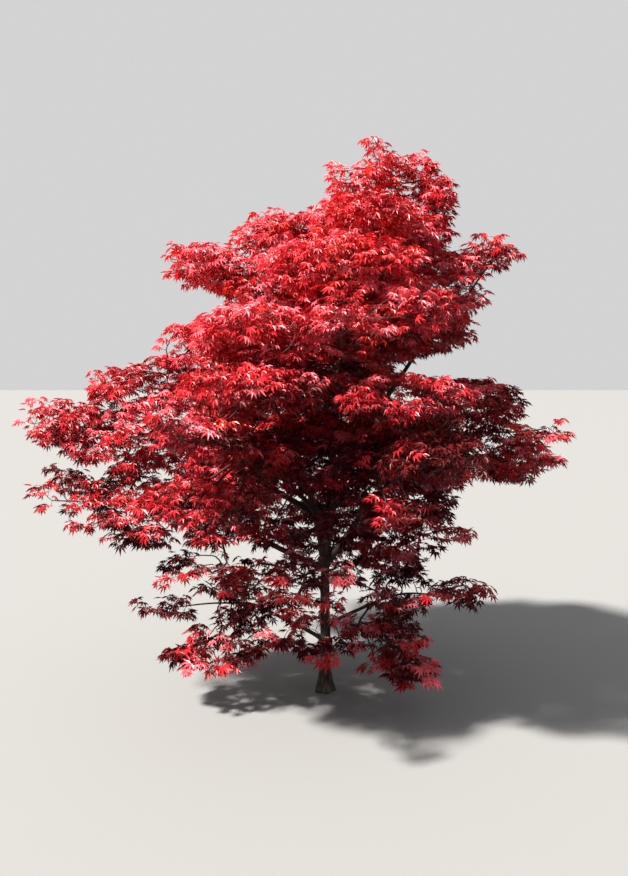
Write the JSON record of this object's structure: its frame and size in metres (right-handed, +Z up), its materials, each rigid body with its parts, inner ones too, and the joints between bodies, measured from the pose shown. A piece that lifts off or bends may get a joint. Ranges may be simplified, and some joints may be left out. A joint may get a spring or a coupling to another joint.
{
  "type": "japanese maple tree",
  "caption": "Small garden japanese maple in red spring leaf: slender winding trunk, spreading boughs and layered, pointed sprays of palmate leaves.",
  "frame": {"origin": "middle of the flat cut under the trunk, at ground level", "axes": "+Z up, +X to the right in the picture, -Y towards the camera"},
  "size_m": [2.2608, 1.7706, 2.299],
  "materials": {
    "bark": "rough",
    "foliage": "satin"
  },
  "bodies": {
    "root": {"back_high": "bark", "back_high_leaves_1": "foliage", "back_left": "bark", "back_left_leaves_1": "foliage", "back_left_leaves_2": "foliage", "back_low": "bark", "back_low_leaves_1": "foliage", "back_right": "bark", "back_right_leaves_1": "foliage", "back_right_leaves_2": "foliage", "bottom_back_leaves": "foliage", "bottom_front_leaves": "foliage", "bottom_left_leaves": "foliage", "bottom_right_leaves": "foliage", "far_left": "bark", "far_left_leaves_1": "foliage", "front_high": "bark", "front_high_leaves_1": "foliage", "front_high_leaves_2": "foliage", "front_left": "bark", "front_left_leaves_1": "foliage", "front_left_leaves_2": "foliage", "front_low": "bark", "front_low_leaves_1": "foliage", "front_right": "bark", "front_right_leaves_1": "foliage", "front_right_leaves_2": "foliage", "left_fifth": "bark", "left_fifth_leaves_1": "foliage", "left_fifth_leaves_2": "foliage", "left_fifth_leaves_3": "foliage", "left_fourth": "bark", "left_fourth_leaves_1": "foliage", "left_fourth_leaves_2": "foliage", "left_low": "bark", "left_low_leaves_1": "foliage", "left_seventh_leaves": "foliage", "left_sixth": "bark", "left_sixth_leaves_1": "foliage", "left_sixth_leaves_2": "foliage", "left_stem": "bark", "left_stem_leaves_1": "foliage", "middle_crown_leaves": "foliage", "right_fifth": "bark", "right_fifth_leaves_1": "foliage", "right_fifth_leaves_2": "foliage", "right_low": "bark", "right_low_leaves_1": "foliage", "right_middle_leaves": "foliage", "right_stem": "bark", "right_stem_leaves_1": "foliage", "right_stem_leaves_2": "foliage", "right_under_leaves": "foliage", "right_upper_leaves": "foliage", "shoulder_left_leaves": "foliage", "top_left_leaves": "foliage", "top_right_leaves": "foliage", "top_tip_leaves": "foliage", "trunk": "bark", "upper_crown_leaves": "foliage"}
  },
  "joints": []
}
